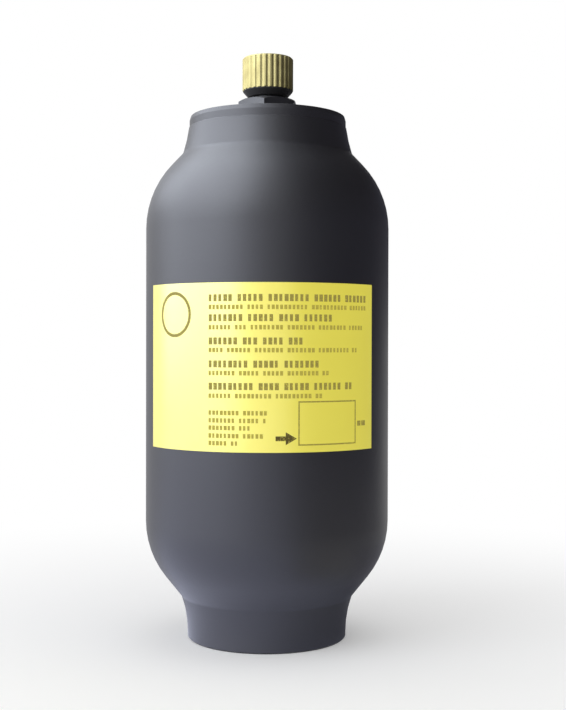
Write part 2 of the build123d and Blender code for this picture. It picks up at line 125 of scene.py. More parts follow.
def turned_blank(section, steps):
    """The bmesh of a turned piece. Its half section is a closed outline of (radius, height,
    rounding) in millimetres, and an arc gets a point every few degrees."""
    arc_step = math.radians(7)
    shape = bmesh.new()
    corners = [Vector((r, 0, z)) * MM for r, z, _ in section]
    ends = []
    for i, (_, _, rounding) in enumerate(section):
        into = (corners[i] - corners[i - 1]).normalized()
        out = (corners[(i + 1) % len(corners)] - corners[i]).normalized()
        turn = into.angle(out)
        start = shape.verts.new(corners[i] - into * rounding * MM * math.tan(turn / 2))
        end = start
        if rounding:
            side = into.cross(out).normalized()
            arc = bmesh.ops.spin(
                shape, geom=[start], cent=start.co + side.cross(into) * rounding * MM,
                axis=side, angle=turn, steps=max(2, math.ceil(turn / arc_step)),
            )
            end = arc["geom_last"][0]
        ends.append((start, end))
    for (_, end), (start, _) in zip(ends, ends[1:] + ends[:1]):
        shape.edges.new((end, start))
    bmesh.ops.spin(
        shape, geom=shape.verts[:] + shape.edges[:], cent=(0, 0, 0), axis=(0, 0, 1),
        angle=math.tau, steps=steps, use_merge=True,
    )
    bmesh.ops.remove_doubles(shape, verts=shape.verts, dist=0.001 * MM)
    bare = [edge for edge in shape.edges if not edge.link_faces]
    bmesh.ops.delete(shape, geom=bare, context="EDGES")
    bmesh.ops.recalc_face_normals(shape, faces=shape.faces)
    return shape


def flare(start, slope, end):
    """The corner, with its rounding, that draws an arc from start to end, where slope is the
    arc's angle from the vertical at its start."""
    chord = Vector(end) - Vector(start)
    half_turn = math.atan2(chord.x, abs(chord.y)) - slope
    reach = chord.length / 2 / math.cos(half_turn)
    r = start[0] + reach * math.sin(slope)
    z = start[1] + math.copysign(reach * math.cos(slope), chord.y)
    return r, z, reach / math.tan(half_turn)


low_corner_z = foot_root[1] + (body_r - foot_root[0]) / math.tan(low_cone_angle)
high_corner_z = head_root[1] - (body_r - head_root[0]) / math.tan(high_cone_angle)
shell = finished("shell_painted", turned_blank([
    (recess_r + mouth_chamfer, 0, edge_break),
    (foot_r - 0.7, 0, paint_round),
    (foot_r, 0.7, paint_round),
    flare((foot_r, foot_straight), 0, foot_root),
    (*foot_root, root_round),
    (body_r, low_corner_z, low_shoulder_r),
    (body_r, high_corner_z, high_shoulder_r),
    (*head_root, root_round),
    flare(band_foot, head_slope, head_root),
    (*band_foot, edge_break),
    (head_r, 239.9, edge_break),
    (head_r, shell_top - 2, paint_round),
    (head_r - 0.6, shell_top, paint_round),
    (throat_r + mouth_chamfer, shell_top, edge_break),
    (throat_r, shell_top - mouth_chamfer, edge_break),
    (throat_r, throat_z, edge_break),
    (28, throat_z, 3),
    (47.1, 206.7, 20),
    (body_r - wall, 190, 20),
    (body_r - wall, 57.4, 20),
    (47.9, 43.1, 20),
    (33, 29, 1),
    (33, port_bore_top_z, 0.3),
    (port_bore_r, port_bore_top_z, 0.3),
    (port_bore_r, recess_roof_z, edge_break),
    (recess_r, recess_roof_z, edge_break),
    (recess_r, mouth_chamfer, edge_break),
], steps=224))

# Satin two-pack enamel, sprayed: a soft broad sheen, a fine orange peel and a few dust nibs.
enamel, tree, shader = new_finish("satin_enamel", IOR=1.5)
place = node(tree, "ShaderNodeTexCoord").outputs["Object"]
peel = node(tree, "ShaderNodeTexNoise", {"Vector": place, "Scale": 1 / (2.2 * MM), "Detail": 2.0})
cloud = node(tree, "ShaderNodeTexNoise", {"Vector": place, "Scale": 1 / (28 * MM), "Detail": 3.0})
nibs = node(tree, "ShaderNodeTexVoronoi", {"Vector": place, "Scale": 1 / (11 * MM)})
nib_height = node(tree, "ShaderNodeMapRange", {
    "Value": nibs.outputs["Distance"],
    "From Min": 0.0, "From Max": 0.035, "To Min": 1.0, "To Max": 0.0,
})
low_bump = node(tree, "ShaderNodeBump", {
    "Height": peel.outputs["Fac"], "Strength": 0.10, "Distance": 0.3 * MM,
})
paint_bump = node(tree, "ShaderNodeBump", {
    "Height": nib_height.outputs["Result"], "Strength": 0.5, "Distance": 0.12 * MM,
    "Normal": low_bump.outputs["Normal"],
})
tint = node(tree, "ShaderNodeMapRange", {
    "Value": cloud.outputs["Fac"], "To Min": 0.93, "To Max": 1.07,
})
colour = node(tree, "ShaderNodeVectorMath", {
    0: linear(enamel_blue_black)[:3], 1: tint.outputs["Result"],
}, operation="MULTIPLY")
gloss = node(tree, "ShaderNodeMapRange", {
    "Value": cloud.outputs["Fac"], "To Min": 0.44, "To Max": 0.52,
})
tree.links.new(colour.outputs["Vector"], shader.inputs["Base Color"])
tree.links.new(gloss.outputs["Result"], shader.inputs["Roughness"])
tree.links.new(paint_bump.outputs["Normal"], shader.inputs["Normal"])
shell.data.materials.append(enamel)
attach(shell, "accumulator")
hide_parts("shell")

# ------------------------------------------------------------------ bladder
# A moulded nitrile bag with its mouth bonded round the stem's flange. It is dipped and cured
# on a mandrel, so all its bends are soft.
bladder_r = 50.65
bladder_wall = 2.5
bladder_foot_z = 64.37
straight_foot_z = 102.37
straight_top_z = 188.51
mouth_r = 9.0
mouth_foot_z = 214.5
flange_r = 15.0
flange_foot_z = 217.0
flange_top_z = 221.0
bladder = finished("bladder_moulded", turned_blank([
    (0, bladder_foot_z, 0),
    (16, bladder_foot_z, 20),
    (38, 73.37, 12),
    (bladder_r, straight_foot_z, 30),
    (bladder_r, straight_top_z, 20),
    (45.64, 205.21, 15),
    (28, 224.5, 3),
    (15, 224.5, 0.5),
    (15, throat_z, 0.4),
    (mouth_r, throat_z, 0),
    (mouth_r, flange_top_z, 0),
    (flange_r, flange_top_z, 0),
    (flange_r, flange_foot_z, 0),
    (mouth_r, flange_foot_z, 0),
    (mouth_r, mouth_foot_z, 0.4),
    (19, mouth_foot_z, 2),
    (19, 222, 1),
    (25.5, 222, 3),
    (43.14, 204.8, 13),
    (bladder_r - bladder_wall, straight_top_z, 18),
    (bladder_r - bladder_wall, straight_foot_z, 28),
    (35.5, 75.6, 10),
    (16, bladder_foot_z + bladder_wall, 18),
    (0, bladder_foot_z + bladder_wall, 0),
], steps=96))

# Nitrile rubber, moulded, black: matt, with the faint cloudy bloom that talc and wax leave on
# it. Its grain is drawn coarser than the real one, so that it shows.
rubber, tree, shader = new_finish("nitrile_rubber", IOR=1.45)
place = node(tree, "ShaderNodeTexCoord").outputs["Object"]
bloom = node(tree, "ShaderNodeTexNoise", {"Vector": place, "Scale": 1 / (6 * MM), "Detail": 5.0})
grain = node(tree, "ShaderNodeTexNoise", {"Vector": place, "Scale": 1 / (0.5 * MM), "Detail": 2.0})
skin = node(tree, "ShaderNodeValToRGB", {"Fac": bloom.outputs["Fac"]})
skin.color_ramp.elements[0].color = linear("#0f0d0d")
skin.color_ramp.elements[1].color = linear("#1c1919")
dulling = node(tree, "ShaderNodeMapRange", {
    "Value": bloom.outputs["Fac"], "To Min": 0.55, "To Max": 0.8,
})
pitted = node(tree, "ShaderNodeBump", {
    "Height": grain.outputs["Fac"], "Strength": 0.25, "Distance": 0.05 * MM,
})
tree.links.new(skin.outputs["Color"], shader.inputs["Base Color"])
tree.links.new(dulling.outputs["Result"], shader.inputs["Roughness"])
tree.links.new(pitted.outputs["Normal"], shader.inputs["Normal"])
bladder.data.materials.append(rubber)
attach(bladder, "accumulator")
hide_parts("bladder")

# ------------------------------------------------------------------ bladder stem
# Turned steel with two rolled threads: M18 x 1.5 for the hex nut, and 5/8-18 UNF above it for
# the cap. The shank was sprayed together with the shell, the thread under the cap was not.
stem_neck_z = 254.6
stem_top_z = 269.5
stem_bore_r = 2.5
counterbore_r = 3.2
counterbore_z = 248.0
socket_r = 4.0
socket_z = 253.5
shank_root_r = 8.1
shank_crest_r = 9.0
shank_pitch = 1.5
shank_thread_z = 246.0
valve_root_r = 7.1
valve_crest_r = 7.93
valve_pitch = 25.4 / 18
valve_thread_z = stem_neck_z + 0.8


def coiled(shape, section, pitch, turns):
    """Winds a closed section, given as (radius, height) in millimetres, into a helix."""
    steps_per_turn = 48
    corners = [shape.verts.new(Vector((r, 0, z)) * MM) for r, z in section]
    face = shape.faces.new(corners)
    steps = round(turns * steps_per_turn)
    bmesh.ops.spin(
        shape, geom=[*corners, *face.edges, face], cent=(0, 0, 0), axis=(0, 0, 1),
        dvec=(0, 0, pitch * MM / steps_per_turn), angle=math.tau * turns, steps=steps,
    )


def thread(shape, root_r, crest_r, foot_z, pitch, turns):
    """Lays the helical ridge of an outside thread round a turned core, sunk a little into it."""
    sunk_r = root_r - 0.1
    half_foot = pitch * 0.44
    half_crest = 0.1
    coiled(shape, [
        (sunk_r, foot_z - half_foot), (crest_r, foot_z - half_crest),
        (crest_r, foot_z + half_crest), (sunk_r, foot_z + half_foot),
    ], pitch, turns)


stem_shape = turned_blank([
    (stem_bore_r, flange_foot_z, 0),
    (flange_r, flange_foot_z, 0.3),
    (flange_r, flange_top_z, 0.3),
    (shank_root_r, flange_top_z, 0.5),
    (shank_root_r, stem_neck_z - 0.5, 0),
    (7.7, stem_neck_z, 0),
    (valve_root_r, stem_neck_z, 0),
    (valve_root_r, stem_top_z - 0.4, 0.1),
    (6.7, stem_top_z, 0.1),
    (socket_r, stem_top_z, 0.1),
    (socket_r, socket_z, 0),
    (counterbore_r, socket_z, 0),
    (counterbore_r, counterbore_z, 0),
    (stem_bore_r, counterbore_z, 0),
], steps=64)
thread(stem_shape, shank_root_r, shank_crest_r, shank_thread_z, shank_pitch, turns=5.3)
thread(stem_shape, valve_root_r, valve_crest_r, valve_thread_z, valve_pitch, turns=9.3)
bmesh.ops.recalc_face_normals(stem_shape, faces=stem_shape.faces)
for face in stem_shape.faces:
    face.material_index = int(face.calc_center_median().z > (stem_neck_z + 0.02) * MM)
stem = finished("stem_threaded", stem_shape)

# Zinc-plated steel, turned: bright but a little cloudy, and the tool left nine lines to the
# millimetre, which run round it.
zinc, tree, shader = new_finish("zinc_plated_steel", Metallic=1.0)
place = node(tree, "ShaderNodeTexCoord").outputs["Object"]
ringed = node(tree, "ShaderNodeMapping", {
    "Vector": place, "Scale": (0.15 / MM, 0.15 / MM, 9 / MM),
})
lines = node(tree, "ShaderNodeTexNoise", {
    "Vector": ringed.outputs["Vector"], "Scale": 1.0, "Detail": 3.0,
})
cloud = node(tree, "ShaderNodeTexNoise", {"Vector": place, "Scale": 1 / (5 * MM), "Detail": 4.0})
plate = node(tree, "ShaderNodeValToRGB", {"Fac": cloud.outputs["Fac"]})
plate.color_ramp.elements[0].color = linear("#9c9c98")
plate.color_ramp.elements[1].color = linear("#bdbdb8")
dulling = node(tree, "ShaderNodeMapRange", {
    "Value": lines.outputs["Fac"], "To Min": 0.28, "To Max": 0.48,
})
turning = node(tree, "ShaderNodeBump", {
    "Height": lines.outputs["Fac"], "Strength": 0.3, "Distance": 0.02 * MM,
})
tree.links.new(plate.outputs["Color"], shader.inputs["Base Color"])
tree.links.new(dulling.outputs["Result"], shader.inputs["Roughness"])
tree.links.new(turning.outputs["Normal"], shader.inputs["Normal"])
stem.data.materials.append(enamel)
stem.data.materials.append(zinc)
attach(stem, "accumulator")
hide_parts("bladder_stem")

# ------------------------------------------------------------------ hex nut on the stem
# A thin M18 steel nut, 26 mm across its flats, drawn down on the head and sprayed with it.
# It is cut from a turned blank, whose chamfer leaves the round arcs on top of the flats.
nut_foot_z = shell_top
nut_top_z = shell_top + 8
nut_bore_r = 9.05
nut_bore_chamfer = 0.85
nut_flat_r = 13.0
nut_corner_r = nut_flat_r / math.cos(math.radians(30))
nut_corner_turn = math.radians(-96.5)
nut_chamfer_r = nut_flat_r - 0.4
nut_chamfer_drop = (nut_corner_r - nut_chamfer_r) * math.tan(math.radians(30))
nut_shape = turned_blank([
    (nut_bore_r, nut_foot_z, 0),
    (nut_corner_r, nut_foot_z, 0.2),
    (nut_corner_r, nut_top_z - nut_chamfer_drop, 0.4),
    (nut_chamfer_r, nut_top_z, 0.4),
    (nut_bore_r + nut_bore_chamfer, nut_top_z, 0.1),
    (nut_bore_r, nut_top_z - nut_bore_chamfer, 0),
], steps=192)
for flat in range(6):
    turn = nut_corner_turn + math.radians(30 + 60 * flat)
    outward = Vector((math.cos(turn), math.sin(turn), 0))
    bmesh.ops.bisect_plane(
        nut_shape, geom=nut_shape.verts[:] + nut_shape.edges[:] + nut_shape.faces[:],
        plane_co=outward * nut_flat_r * MM, plane_no=outward, clear_outer=True,
    )
bmesh.ops.holes_fill(nut_shape, edges=nut_shape.edges[:], sides=0)
bmesh.ops.recalc_face_normals(nut_shape, faces=nut_shape.faces)
nut = finished("stem_nut_cut", nut_shape)
nut.data.materials.append(enamel)
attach(nut, "accumulator")
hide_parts("stem_nut")

# ------------------------------------------------------------------ gas valve core
# A brass barrel screwed down on a PTFE ring, with a steel pin through it. Pressing the pin
# lifts its rubber seal off the barrel's foot against a small coil spring.
core_floor_z = 259.0
pin_collar_z = 267.2
pin_r = 0.75
core_coil_r = 1.4
core_wire = 0.4
core_seal_r = 2.6
core_seal_foot_z = 254.0
core_seal_top_z = 255.0

# Free-cutting brass, turned from drawn bar: yellow, dulled by handling, with fine upright lines,
# which are drawn coarser than the real ones, so that they show.
brass, tree, shader = new_finish("turned_brass", Metallic=1.0)
place = node(tree, "ShaderNodeTexCoord").outputs["Object"]
upright = node(tree, "ShaderNodeMapping", {
    "Vector": place, "Scale": (2.4 / MM, 2.4 / MM, 0.06 / MM),
})
drawn = node(tree, "ShaderNodeTexNoise", {
    "Vector": upright.outputs["Vector"], "Scale": 1.0, "Detail": 3.0,
})
cloud = node(tree, "ShaderNodeTexNoise", {"Vector": place, "Scale": 1 / (7 * MM), "Detail": 4.0})
alloy = node(tree, "ShaderNodeValToRGB", {"Fac": cloud.outputs["Fac"]})
alloy.color_ramp.elements[0].position = 0.3
alloy.color_ramp.elements[0].color = linear("#857b52")
alloy.color_ramp.elements[1].position = 0.7
alloy.color_ramp.elements[1].color = linear("#999063")
dulling = node(tree, "ShaderNodeMapRange", {
    "Value": drawn.outputs["Fac"], "To Min": 0.55, "To Max": 0.72,
})
scratched = node(tree, "ShaderNodeBump", {
    "Height": drawn.outputs["Fac"], "Strength": 0.35, "Distance": 0.03 * MM,
})
tree.links.new(alloy.outputs["Color"], shader.inputs["Base Color"])
tree.links.new(dulling.outputs["Result"], shader.inputs["Roughness"])
tree.links.new(scratched.outputs["Normal"], shader.inputs["Normal"])

# PTFE, skived from rod: dull, slightly waxy white.
ptfe, tree, shader = new_finish("skived_ptfe", Roughness=0.55, IOR=1.35)
place = node(tree, "ShaderNodeTexCoord").outputs["Object"]
wax = node(tree, "ShaderNodeTexNoise", {"Vector": place, "Scale": 1 / (3 * MM), "Detail": 3.0})
milk = node(tree, "ShaderNodeValToRGB", {"Fac": wax.outputs["Fac"]})
milk.color_ramp.elements[0].color = linear("#dcdcd6")
milk.color_ramp.elements[1].color = linear("#efefea")
tree.links.new(milk.outputs["Color"], shader.inputs["Base Color"])

# Spring steel, drawn and oil-hardened: dark grey and smooth, with lengthwise streaks.
wire, tree, shader = new_finish("spring_steel", Metallic=1.0)
place = node(tree, "ShaderNodeTexCoord").outputs["Object"]
streak = node(tree, "ShaderNodeTexNoise", {"Vector": place, "Scale": 1 / (0.8 * MM), "Detail": 4.0})
oiled = node(tree, "ShaderNodeValToRGB", {"Fac": streak.outputs["Fac"]})
oiled.color_ramp.elements[0].color = linear("#5a5856")
oiled.color_ramp.elements[1].color = linear("#7d7b78")
dulling = node(tree, "ShaderNodeMapRange", {
    "Value": streak.outputs["Fac"], "To Min": 0.25, "To Max": 0.42,
})
tree.links.new(oiled.outputs["Color"], shader.inputs["Base Color"])
tree.links.new(dulling.outputs["Result"], shader.inputs["Roughness"])


def refinish(name, material):
    """Gives a CAD node, whose shape stays, its real finish."""
    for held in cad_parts[name].material_slots:
        held.material = material


def spring(name, coil_r, wire_r, foot_z, top_z, turns):
    """A coil spring of round wire that stands between two levels."""
    shape = bmesh.new()
    round_angles = [math.tau * i / 12 for i in range(12)]
    section = [
        (coil_r + wire_r * math.cos(angle), foot_z + wire_r + wire_r * math.sin(angle))
        for angle in round_angles
    ]
    coiled(shape, section, (top_z - foot_z - 2 * wire_r) / turns, turns)
    bmesh.ops.recalc_face_normals(shape, faces=shape.faces)
    return finished(name, shape)


refinish("valve_core", brass)
refinish("core_washer", ptfe)
refinish("core_pin", zinc)
core_spring = spring(
    "core_spring_wound", core_coil_r, core_wire / 2, core_floor_z, pin_collar_z, turns=4,
)
core_spring.data.materials.append(wire)
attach(core_spring, "accumulator")
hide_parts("core_spring")
core_seal = finished("core_seal_moulded", turned_blank([
    (pin_r, core_seal_foot_z, 0.1),
    (core_seal_r, core_seal_foot_z, 0.3),
    (core_seal_r, core_seal_top_z, 0.3),
    (pin_r, core_seal_top_z, 0.1),
], steps=48))
core_seal.data.materials.append(rubber)
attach(core_seal, "core_pin")
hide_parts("core_seal")
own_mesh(core_spring)

# ------------------------------------------------------------------ rubber collar under the cap
# A moulded nitrile ring, tapered below, that keeps dirt off the thread. It is slipped over
# the thread on to the stem's shoulder, and the foot of the cap holds it down.
cap_foot_z = 257.7
valve_bore_r = 7.99
collar_r = 11.7
collar = finished("cap_seal_moulded", turned_blank([
    (valve_bore_r, stem_neck_z, 0),
    (9.3, stem_neck_z, 0.3),
    (collar_r, cap_foot_z - 0.4, 0.5),
    (collar_r, cap_foot_z, 0.15),
    (valve_bore_r, cap_foot_z, 0),
], steps=96))
collar.data.materials.append(rubber)
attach(collar, "accumulator")
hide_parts("cap_seal")

# ------------------------------------------------------------------ brass cap
# Turned from bar and straight-fluted all round for the fingers, then parted off. The edge of
# its top is chamfered, so that the flutes run out in the chamfer.
cap_top_z = 273.1
cap_roof_z = 271.0
cap_r = 12.0
flute_count = 28
flute_r = 1.0
flute_depth = 0.45
flute_axis_r = cap_r + flute_r - flute_depth
flute_reach_r = cap_r - 0.8
flute_steps = 14
gasket_r = 7.88
cap_shape = turned_blank([
    (valve_bore_r, cap_foot_z + 0.6, 0),
    (8.6, cap_foot_z, 0.1),
    (cap_r, cap_foot_z, 0.25),
    (cap_r, cap_top_z - 0.7, 0.3),
    (flute_axis_r - flute_r, cap_top_z - 0.25, 0),
    (cap_r - 0.7, cap_top_z, 0.3),
    (0, cap_top_z, 0),
    (0, cap_roof_z, 0),
    (valve_bore_r, cap_roof_z, 0.4),
], steps=flute_count * flute_steps)
for vert in cap_shape.verts:
    if vert.co.xy.length > flute_reach_r * MM:
        turn = math.atan2(vert.co.y, vert.co.x) * flute_count / math.tau
        off_axis = (turn - round(turn)) * math.tau / flute_count
        aside = flute_axis_r * math.sin(off_axis)
        if abs(aside) < flute_r:
            flute_wall = flute_axis_r * math.cos(off_axis) - math.sqrt(flute_r ** 2 - aside ** 2)
            vert.co.xy *= min(1, flute_wall * MM / vert.co.xy.length)
cap = finished("cap_fluted", cap_shape)
cap.data.materials.append(brass)
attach(cap, "cap")
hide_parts("cap")
cap_gasket = finished("cap_gasket_punched", turned_blank([
    (0, stem_top_z, 0),
    (gasket_r, stem_top_z, 0.3),
    (gasket_r, cap_roof_z, 0.3),
    (0, cap_roof_z, 0),
], steps=64))
cap_gasket.data.materials.append(rubber)
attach(cap_gasket, "cap_gasket")
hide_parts("cap_gasket")

# ------------------------------------------------------------------ fluid port
# Turned steel parts at the lower end, all held by a slotted ring nut: the port body with its
# bridge and seat, the poppet on its spring, and the rings that seal and carry them.
bridge_top_z = 41.0
poppet_cone_z = 55.77
poppet_coil_r = 6.2
poppet_wire = 1.2
port_neck_r = 21.55
o_ring_r = 24.9
o_ring_foot_z = 19.0
o_ring_top_z = 24.0
split_ring_r = 32.5
split_ring_top_z = 33.0

# Phosphated steel, turned: dark, dry grey with a faint sparkle and six tool lines to the
# millimetre. Its crystals are drawn coarser than the real ones, so that they show.
phosphate, tree, shader = new_finish("phosphated_steel", Metallic=0.85)
place = node(tree, "ShaderNodeTexCoord").outputs["Object"]
ringed = node(tree, "ShaderNodeMapping", {
    "Vector": place, "Scale": (0.2 / MM, 0.2 / MM, 6 / MM),
})
lines = node(tree, "ShaderNodeTexNoise", {
    "Vector": ringed.outputs["Vector"], "Scale": 1.0, "Detail": 3.0,
})
crystal = node(tree, "ShaderNodeTexNoise", {
    "Vector": place, "Scale": 1 / (0.7 * MM), "Detail": 5.0,
})
coat = node(tree, "ShaderNodeValToRGB", {"Fac": crystal.outputs["Fac"]})
coat.color_ramp.elements[0].color = linear("#4a4947")
coat.color_ramp.elements[1].color = linear("#6e6d69")
dulling = node(tree, "ShaderNodeMapRange", {
    "Value": crystal.outputs["Fac"], "To Min": 0.42, "To Max": 0.62,
})
turning = node(tree, "ShaderNodeBump", {
    "Height": lines.outputs["Fac"], "Strength": 0.3, "Distance": 0.03 * MM,
})
tree.links.new(coat.outputs["Color"], shader.inputs["Base Color"])
tree.links.new(dulling.outputs["Result"], shader.inputs["Roughness"])
tree.links.new(turning.outputs["Normal"], shader.inputs["Normal"])

# Bearing bronze, cast and bored: redder and duller than the brass.
bronze, tree, shader = new_finish("bearing_bronze", Metallic=1.0)
place = node(tree, "ShaderNodeTexCoord").outputs["Object"]
cloud = node(tree, "ShaderNodeTexNoise", {"Vector": place, "Scale": 1 / (2 * MM), "Detail": 4.0})
alloy = node(tree, "ShaderNodeValToRGB", {"Fac": cloud.outputs["Fac"]})
alloy.color_ramp.elements[0].color = linear("#8d6438")
alloy.color_ramp.elements[1].color = linear("#ad8350")
dulling = node(tree, "ShaderNodeMapRange", {
    "Value": cloud.outputs["Fac"], "To Min": 0.35, "To Max": 0.5,
})
tree.links.new(alloy.outputs["Color"], shader.inputs["Base Color"])
tree.links.new(dulling.outputs["Result"], shader.inputs["Roughness"])

for name in ("port_body", "support_washer", "spacer_ring", "ring_nut"):
    refinish(name, phosphate)
refinish("poppet", zinc)
refinish("poppet_nut", zinc)
refinish("brake_bush", bronze)
refinish("backup_ring", ptfe)
poppet_spring = spring(
    "poppet_spring_wound", poppet_coil_r, poppet_wire / 2, bridge_top_z, poppet_cone_z, turns=4,
)
poppet_spring.data.materials.append(wire)
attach(poppet_spring, "accumulator")
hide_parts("poppet_spring")
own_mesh(poppet_spring)
port_o_ring = finished("port_o_ring_moulded", turned_blank([
    (port_neck_r, o_ring_foot_z, 1.5),
    (o_ring_r, o_ring_foot_z, 1.5),
    (o_ring_r, o_ring_top_z, 1.5),
    (port_neck_r, o_ring_top_z, 1.5),
], steps=128))
port_o_ring.data.materials.append(rubber)
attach(port_o_ring, "accumulator")
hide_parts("port_o_ring")
split_ring = finished("split_ring_moulded", turned_blank([
    (port_neck_r, port_bore_top_z, 0.3),
    (split_ring_r, port_bore_top_z, 0.8),
    (split_ring_r, split_ring_top_z - 4, 1.2),
    (split_ring_r - 4, split_ring_top_z, 1.2),
    (port_neck_r, split_ring_top_z, 0.3),
], steps=128))
split_ring.data.materials.append(rubber)
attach(split_ring, "accumulator")
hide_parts("anti_extrusion_ring")

# ------------------------------------------------------------------ label
# A sheet of self-adhesive vinyl wrapped round the front, printed with three yellow-brown inks:
# rows of plain blocks, an open frame, an arrow to it, and a ring.
label_r = 57.27
label_depth = 0.06
label_left = -64.6
label_right = 54.5
label_foot_z = 91.6
label_top_z = 164.6


def wrapped(name, shape):
    """Scores a flat shape, drawn in X and Z with its face at Y = 0, every millimetre and bends it
    round the shell. The label's front is at X = 0."""
    for column in range(math.ceil(label_left), math.ceil(label_right)):
        bmesh.ops.bisect_plane(
            shape, geom=shape.verts[:] + shape.edges[:] + shape.faces[:],
            plane_co=(column * MM, 0, 0), plane_no=(1, 0, 0), dist=0.01 * MM,
        )
    for vert in shape.verts:
        turn = vert.co.x / (label_r * MM)
        radius = label_r * MM - vert.co.y
        vert.co = (radius * math.sin(turn), -radius * math.cos(turn), vert.co.z)
    bmesh.ops.recalc_face_normals(shape, faces=shape.faces)
    return finished(name, shape)


def block(shape, left, right, foot, top, front, back):
    """Adds a flat block to a label's shape, in millimetres."""
    size = Matrix.Diagonal(((right - left) * MM, (back - front) * MM, (top - foot) * MM, 1))
    middle = Vector(((left + right) / 2, (front + back) / 2, (foot + top) / 2)) * MM
    bmesh.ops.create_cube(shape, size=1, matrix=Matrix.Translation(middle) @ size)


sheet = bmesh.new()
block(sheet, label_left, label_right, label_foot_z, label_top_z, 0, label_depth)
label = wrapped("label_printed", sheet)

# Vinyl film under a clear laminate: glossy yellow that goes pale where the softbox lies on it,
# with a very slight waviness from the hand that laid it.
vinyl, tree, shader = new_finish(
    "yellow_vinyl_film", IOR=1.75, Coat_Weight=1.0, Coat_IOR=1.75, Coat_Roughness=0.34,
)
place = node(tree, "ShaderNodeTexCoord").outputs["Object"]
cloud = node(tree, "ShaderNodeTexNoise", {"Vector": place, "Scale": 1 / (18 * MM), "Detail": 3.0})
film = node(tree, "ShaderNodeValToRGB", {"Fac": cloud.outputs["Fac"]})
film.color_ramp.elements[0].color = linear("#f3e519")
film.color_ramp.elements[1].color = linear("#f7ea20")
dulling = node(tree, "ShaderNodeMapRange", {
    "Value": cloud.outputs["Fac"], "To Min": 0.36, "To Max": 0.44,
})
laid = node(tree, "ShaderNodeBump", {
    "Height": cloud.outputs["Fac"], "Strength": 0.15, "Distance": 0.4 * MM,
})
tree.links.new(film.outputs["Color"], shader.inputs["Base Color"])
tree.links.new(dulling.outputs["Result"], shader.inputs["Roughness"])
tree.links.new(laid.outputs["Normal"], shader.inputs["Normal"])
label.data.materials.append(vinyl)
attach(label, "accumulator")
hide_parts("label")

# The ink stands a little proud of the film and reaches a little into it.
ink_front = -0.025
ink_back = 0.03
rows_left = -26.2
panel_left = 13.5
panel_right = 42.8
panel_foot = 94.5
panel_top = 113.6
panel_line = 0.6
unit_foot = 102.2
unit_top = 104.4
ring_x = -45.5
ring_z = 151.0
ring_r = 10.0
ring_line = 1.4
arrow_left = 3.6
arrow_neck = 8.4
arrow_head_x = 9.6
arrow_z = 97.6
arrow_half_width = 1.0
arrow_head_r = 3.2
chance = random.Random(18)


def printed_rows(shape, rows, height, pitch):
    """Rows of plain blocks in groups, each row given as its middle height and its right end."""
    gap = pitch * 0.8
    for middle, right in rows:
        at = rows_left
        group = chance.randint(3, 10)
        while at < right - pitch / 2:
            width = pitch * chance.uniform(0.52, 0.76)
            block(shape, at, min(at + width, right), middle - height / 2, middle + height / 2,
                  ink_front, ink_back)
            at += pitch
            group -= 1
            if not group:
                at += gap
                group = chance.randint(3, 10)


def polygon(shape, x, z, radius, sides, turn=0):
    """Lays a flat regular polygon on a label's shape, at the back of the ink."""
    spot = Matrix.Translation(Vector((x, ink_back, z)) * MM)
    upright = Matrix.Rotation(math.radians(90), 4, "X")
    turned = Matrix.Rotation(math.radians(turn), 4, "Z")
    made = bmesh.ops.create_circle(
        shape, cap_ends=True, segments=sides, radius=radius * MM, matrix=spot @ upright @ turned,
    )
    return made["verts"]


def raised(shape, faces):
    """Pulls faces that lie at the back of the ink out to its front."""
    pulled = bmesh.ops.extrude_face_region(shape, geom=faces, use_keep_orig=True)
    for item in pulled["geom"]:
        if isinstance(item, bmesh.types.BMVert):
            item.co.y = ink_front * MM


def ink(name, code):
    """Screen-printing ink: thin and matt, with small gaps where the film shows through, drawn
    coarser than the real ones, so that they show."""
    material, tree, shader = new_finish(name, Roughness=0.7, Specular_IOR_Level=0.15)
    place = node(tree, "ShaderNodeTexCoord").outputs["Object"]
    mottle = node(tree, "ShaderNodeTexNoise", {
        "Vector": place, "Scale": 1 / (0.6 * MM), "Detail": 3.0,
    })
    cover = node(tree, "ShaderNodeValToRGB", {"Fac": mottle.outputs["Fac"]})
    cover.color_ramp.elements[0].position = 0.25
    cover.color_ramp.elements[0].color = linear("#d8ca54")
    cover.color_ramp.elements[1].position = 0.45
    cover.color_ramp.elements[1].color = linear(code)
    tree.links.new(cover.outputs["Color"], shader.inputs["Base Color"])
    return material


dark_print = bmesh.new()
printed_rows(dark_print, [
    (158.0, 49.5), (149.4, 29.9), (139.4, 16.0), (129.5, 22.9), (119.9, 41.5),
], height=3.0, pitch=2.3)
for left, right, foot, top in (
    (panel_left, panel_right, panel_top - panel_line, panel_top),
    (panel_left, panel_right, panel_foot, panel_foot + panel_line),
    (panel_left, panel_left + panel_line, panel_foot + panel_line, panel_top - panel_line),
    (panel_right - panel_line, panel_right, panel_foot + panel_line, panel_top - panel_line),
    (43.8, 46.0, unit_foot, unit_top),
    (46.6, 49.2, unit_foot, unit_top),
):
    block(dark_print, left, right, foot, top, ink_front, ink_back)
rim = polygon(dark_print, ring_x, ring_z, ring_r, sides=72)
disc = rim[0].link_faces[0]
bmesh.ops.inset_region(
    dark_print, faces=[disc], thickness=ring_line * MM, use_even_offset=True, use_boundary=True,
)
band = [face for face in {f for vert in rim for f in vert.link_faces} if face != disc]
bmesh.ops.delete(dark_print, geom=[disc], context="FACES_ONLY")
raised(dark_print, band)
dark_marks = wrapped("label_dark_print", dark_print)
dark_marks.data.materials.append(ink("brown_ochre_ink", "#988c40"))
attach(dark_marks, "accumulator")

